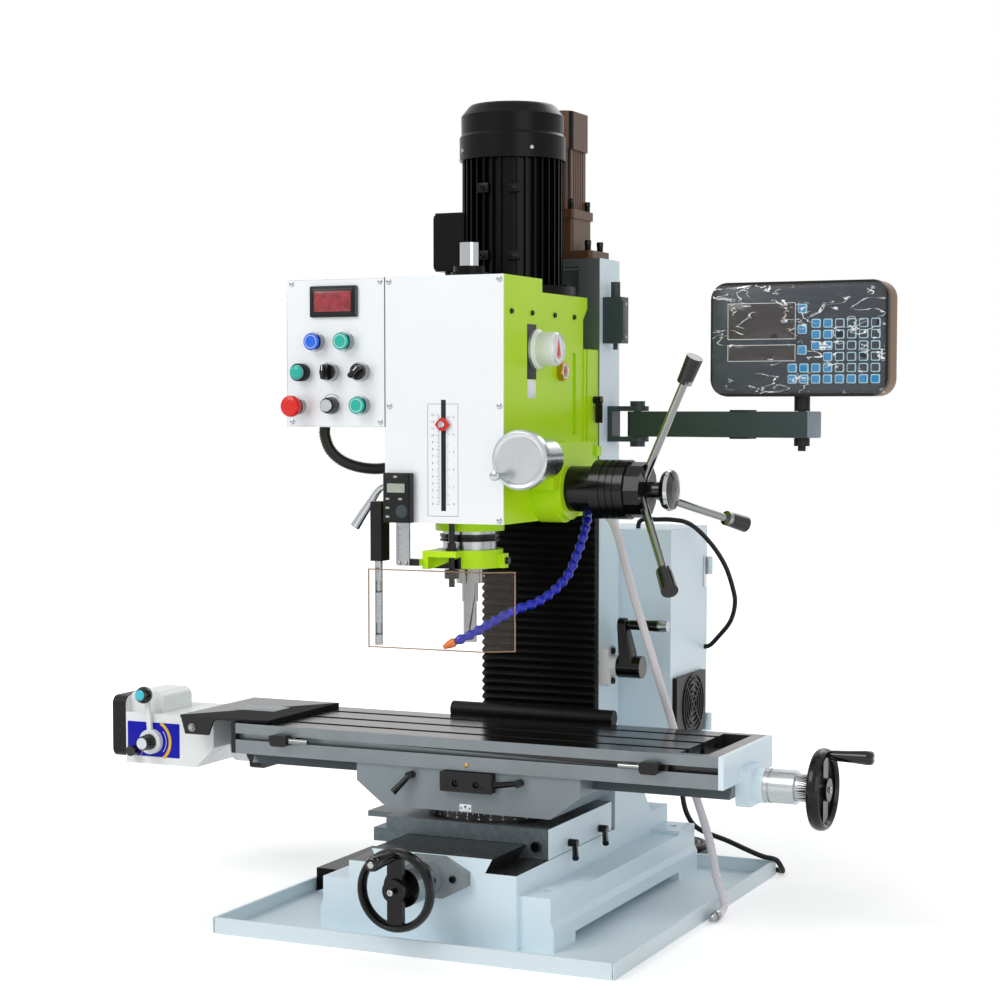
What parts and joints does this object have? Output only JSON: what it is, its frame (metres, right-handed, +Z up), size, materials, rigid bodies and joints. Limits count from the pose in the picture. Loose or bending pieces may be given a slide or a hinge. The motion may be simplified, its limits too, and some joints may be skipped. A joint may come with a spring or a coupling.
{
  "type": "mill drill",
  "caption": "Bench mill drill with a cross table on a cast base, power table feed, dovetail column, motor raised tilting head, quill feed hub, digital readout on an arm and a rear cabinet",
  "frame": {"origin": "On the floor, straight below the spindle axis at rest.", "axes": "X to the right of a person at the controls, Y back towards the column, Z up."},
  "size_m": [1.2564, 1.0014, 1.251],
  "materials": {
    "tray_grey": "semi-gloss enamel",
    "cast_white": "enamel over cast iron",
    "head_green": "lime enamel over cast iron",
    "scraped_iron": "ground and scraped",
    "motor_black": "satin enamel",
    "motor_grey": "satin enamel",
    "fitting_grey": "satin enamel",
    "wheel_black": "gloss enamel",
    "grip_black": "polished phenolic",
    "steel": "turned",
    "panel_alu": "brushed sheet",
    "feed_white": "moulded",
    "display_black": "moulded",
    "display_grey": "satin",
    "button_green": "moulded",
    "button_red": "moulded",
    "bellows_black": "folded sheet",
    "cord_black": "sheathed cord",
    "coolant_blue": "jointed plastic hose",
    "hose_clear": "clear braided hose",
    "guard_clear": "clear sheet"
  },
  "bodies": {
    "frame": {"chip_tray": "tray_grey", "base_casting": "cast_white", "column": "cast_white", "bellows": "bellows_black", "column_fittings": "fitting_grey", "elevation_motor": "motor_grey", "cabinet": "cast_white", "mains_cord": "cord_black", "mains_coil": "cord_black", "supply_hose": "hose_clear", "loop_cable": "cord_black"},
    "door": {"cabinet_door": "cast_white"},
    "crank": {"elevation_crank": "wheel_black"},
    "y_wheel": {"y_handwheel": "wheel_black"},
    "y_grip": {"y_wheel_handle": "grip_black"},
    "saddle": {"saddle": "scraped_iron"},
    "saddle_lock_a": {"saddle_lock_front": "wheel_black"},
    "saddle_lock_b": {"saddle_lock_rear": "wheel_black"},
    "apron": {"apron": "scraped_iron"},
    "table_lock_a": {"table_lock_left": "wheel_black"},
    "table_lock_b": {"table_lock_right": "wheel_black"},
    "table": {"table": "scraped_iron", "end_housings": "cast_white", "feed_box": "feed_white"},
    "x_wheel": {"x_handwheel": "wheel_black"},
    "x_grip": {"x_wheel_handle": "grip_black"},
    "feed_lever": {"feed_lever": "feed_white"},
    "feed_knob": {"feed_speed_knob": "grip_black"},
    "rapid_button": {"rapid_button": "grip_black"},
    "stop_a": {"table_stop_left": "wheel_black"},
    "stop_b": {"table_stop_right": "wheel_black"},
    "slide": {"head_slide": "head_green"},
    "head_lock": {"head_lock_lever": "wheel_black"},
    "head": {"head_casting": "head_green", "head_cover": "head_green", "front_plate": "panel_alu", "control_box": "panel_alu", "spindle_motor": "motor_black", "conduit": "cord_black", "quill_scale": "display_black", "coolant_hose": "coolant_blue"},
    "speed_selector": {"speed_selector": "feed_white"},
    "up_button": {"up_button": "grip_black"},
    "down_button": {"down_button": "grip_black"},
    "start_button": {"start_button": "button_green"},
    "e_stop": {"e_stop": "button_red"},
    "mode_selector": {"mode_selector": "grip_black"},
    "pump_selector": {"pump_selector": "grip_black"},
    "speed_pot": {"speed_pot": "grip_black"},
    "quill": {"quill": "steel", "quill_collar": "steel"},
    "spindle": {"spindle": "steel"},
    "depth_knob": {"depth_stop_knob": "grip_black"},
    "feed_hub": {"feed_hub": "wheel_black"},
    "fine_dial": {"fine_feed_dial": "grip_black"},
    "clutch_knob": {"feed_clutch_knob": "grip_black"},
    "quill_lock": {"quill_lock_lever": "wheel_black"},
    "guard": {"guard_shield": "guard_clear"},
    "arm": {"dro_arm": "display_grey"},
    "console": {"dro_console": "display_grey"}
  },
  "joints": [
    {"name": "door_hinge", "type": "hinge", "parent": "frame", "child": "door", "pos_m": [0.191, 0.5429, 0.373], "axis": [0, 0, -1], "range_deg": [0, 110]},
    {"name": "crank_turn", "type": "hinge", "parent": "frame", "child": "crank", "pos_m": [0.11, 0.286, 0.366], "axis": [1, 0, 0], "range_deg": [-9000, 11700]},
    {"name": "y_wheel_turn", "type": "hinge", "parent": "frame", "child": "y_wheel", "pos_m": [0, -0.243, 0.1], "axis": [0, 1, 0], "range_deg": [-12600, 0]},
    {"name": "y_grip_spin", "type": "hinge", "parent": "y_wheel", "child": "y_grip", "pos_m": [0, -0.26, 0.1504], "axis": [0, 1, 0], "continuous": true},
    {"name": "saddle_slide", "type": "slide", "parent": "frame", "child": "saddle", "axis": [0, 1, 0], "range_m": [-0.175, 0]},
    {"name": "saddle_lock_front_turn", "type": "hinge", "parent": "saddle", "child": "saddle_lock_a", "pos_m": [0.1354, 0.064, 0.1225], "axis": [1, 0, 0], "range_deg": [0, 60]},
    {"name": "saddle_lock_rear_turn", "type": "hinge", "parent": "saddle", "child": "saddle_lock_b", "pos_m": [0.1354, 0.185, 0.1225], "axis": [1, 0, 0], "range_deg": [0, 60]},
    {"name": "table_swivel", "type": "hinge", "parent": "saddle", "child": "apron", "pos_m": [0, 0.095, 0.171], "axis": [0, 0, 1], "range_deg": [-3, 3]},
    {"name": "table_lock_left_turn", "type": "hinge", "parent": "apron", "child": "table_lock_a", "pos_m": [-0.09, -0.0154, 0.223], "axis": [0, 1, 0], "range_deg": [0, 60]},
    {"name": "table_lock_right_turn", "type": "hinge", "parent": "apron", "child": "table_lock_b", "pos_m": [0.09, -0.0154, 0.223], "axis": [0, 1, 0], "range_deg": [0, 60]},
    {"name": "table_slide", "type": "slide", "parent": "apron", "child": "table", "axis": [1, 0, 0], "range_m": [-0.2, 0.2]},
    {"name": "x_wheel_turn", "type": "hinge", "parent": "table", "child": "x_wheel", "pos_m": [0.51, 0.095, 0.227], "axis": [1, 0, 0], "range_deg": [-14400, 14400]},
    {"name": "x_grip_spin", "type": "hinge", "parent": "x_wheel", "child": "x_grip", "pos_m": [0.53, 0.095, 0.2774], "axis": [1, 0, 0], "continuous": true},
    {"name": "feed_lever_turn", "type": "hinge", "parent": "table", "child": "feed_lever", "pos_m": [-0.582, 0.0196, 0.237], "axis": [0, 1, 0], "range_deg": [-30, 30]},
    {"name": "feed_speed_turn", "type": "hinge", "parent": "table", "child": "feed_knob", "pos_m": [-0.582, 0.0196, 0.237], "axis": [0, 1, 0], "range_deg": [-150, 150]},
    {"name": "rapid_push", "type": "slide", "parent": "table", "child": "rapid_button", "axis": [0, 1, 0], "range_m": [0, 0.004], "stiffness_N_per_m": 400, "springref_m": -0.004},
    {"name": "stop_left_slide", "type": "slide", "parent": "table", "child": "stop_a", "axis": [1, 0, 0], "range_m": [0, 0.2]},
    {"name": "stop_right_slide", "type": "slide", "parent": "table", "child": "stop_b", "axis": [1, 0, 0], "range_m": [-0.2, 0]},
    {"name": "head_travel", "type": "slide", "parent": "frame", "child": "slide", "axis": [0, 0, -1], "range_m": [-0.1, 0.13], "deforming": ["bellows", "supply_hose"]},
    {"name": "head_lock_turn", "type": "hinge", "parent": "slide", "child": "head_lock", "pos_m": [0.0984, 0.25, 0.791], "axis": [1, 0, 0], "range_deg": [-60, 0]},
    {"name": "head_tilt", "type": "hinge", "parent": "slide", "child": "head", "pos_m": [0, 0.209, 0.79], "axis": [0, 1, 0], "range_deg": [-15, 30]},
    {"name": "speed_select", "type": "hinge", "parent": "head", "child": "speed_selector", "pos_m": [0.0964, 0.027, 0.865], "axis": [1, 0, 0], "range_deg": [-60, 60]},
    {"name": "up_push", "type": "slide", "parent": "head", "child": "up_button", "axis": [0, 1, 0], "range_m": [0, 0.004], "stiffness_N_per_m": 400, "springref_m": -0.004},
    {"name": "down_push", "type": "slide", "parent": "head", "child": "down_button", "axis": [0, 1, 0], "range_m": [0, 0.004], "stiffness_N_per_m": 400, "springref_m": -0.004},
    {"name": "start_push", "type": "slide", "parent": "head", "child": "start_button", "axis": [0, 1, 0], "range_m": [0, 0.004], "stiffness_N_per_m": 400, "springref_m": -0.004},
    {"name": "e_stop_push", "type": "slide", "parent": "head", "child": "e_stop", "axis": [0, 1, 0], "range_m": [0, 0.005]},
    {"name": "mode_turn", "type": "hinge", "parent": "head", "child": "mode_selector", "pos_m": [-0.1851, -0.089, 0.8314], "axis": [0, 1, 0], "range_deg": [-45, 45]},
    {"name": "pump_turn", "type": "hinge", "parent": "head", "child": "pump_selector", "pos_m": [-0.13395, -0.089, 0.8314], "axis": [0, 1, 0], "range_deg": [0, 90]},
    {"name": "speed_pot_turn", "type": "hinge", "parent": "head", "child": "speed_pot", "pos_m": [-0.1851, -0.089, 0.7819], "axis": [0, 1, 0], "range_deg": [-150, 150]},
    {"name": "feed_turn", "type": "hinge", "parent": "head", "child": "feed_hub", "pos_m": [0.13, 0.057, 0.658], "axis": [-1, 0, 0], "range_deg": [-480, 0]},
    {"name": "quill_feed", "type": "slide", "parent": "head", "child": "quill", "axis": [0, 0, 1], "range_m": [-0.12, 0], "stiffness_N_per_m": 700, "springref_m": 0.25},
    {"name": "spindle_turn", "type": "hinge", "parent": "quill", "child": "spindle", "pos_m": [0, 0, 0.44], "axis": [0, 0, 1], "continuous": true},
    {"name": "depth_stop_turn", "type": "hinge", "parent": "quill", "child": "depth_knob", "pos_m": [0, -0.062, 0.6], "axis": [0, 0, 1], "continuous": true},
    {"name": "fine_feed_turn", "type": "hinge", "parent": "head", "child": "fine_dial", "pos_m": [0.128, 0, 0.704], "axis": [0, 1, 0], "continuous": true},
    {"name": "feed_clutch_turn", "type": "hinge", "parent": "feed_hub", "child": "clutch_knob", "pos_m": [0.2625, 0.057, 0.658], "axis": [1, 0, 0], "range_deg": [0, 360]},
    {"name": "quill_lock_turn", "type": "hinge", "parent": "head", "child": "quill_lock", "pos_m": [-0.0964, 0, 0.659], "axis": [1, 0, 0], "range_deg": [-40, 40]},
    {"name": "guard_swing", "type": "hinge", "parent": "head", "child": "guard", "pos_m": [-0.11, -0.084, 0.6], "axis": [0, 0, 1], "range_deg": [-100, 0]},
    {"name": "arm_swing", "type": "hinge", "parent": "frame", "child": "arm", "pos_m": [0.145, 0.32, 0.753], "axis": [0, 0, -1], "range_deg": [-75, 10]},
    {"name": "console_turn", "type": "hinge", "parent": "arm", "child": "console", "pos_m": [0.4373, 0.2525, 0.753], "axis": [0, 0, 1], "range_deg": [-30, 30]}
  ],
  "couplings": [
    {"joint": "y_wheel_turn", "follows": "saddle_slide", "rad_per_m": 1256.6},
    {"joint": "x_wheel_turn", "follows": "table_slide", "rad_per_m": 1256.6},
    {"joint": "crank_turn", "follows": "head_travel", "rad_per_m": 1570.8},
    {"joint": "quill_feed", "follows": "feed_turn", "m_per_rad": 0.014324}
  ]
}
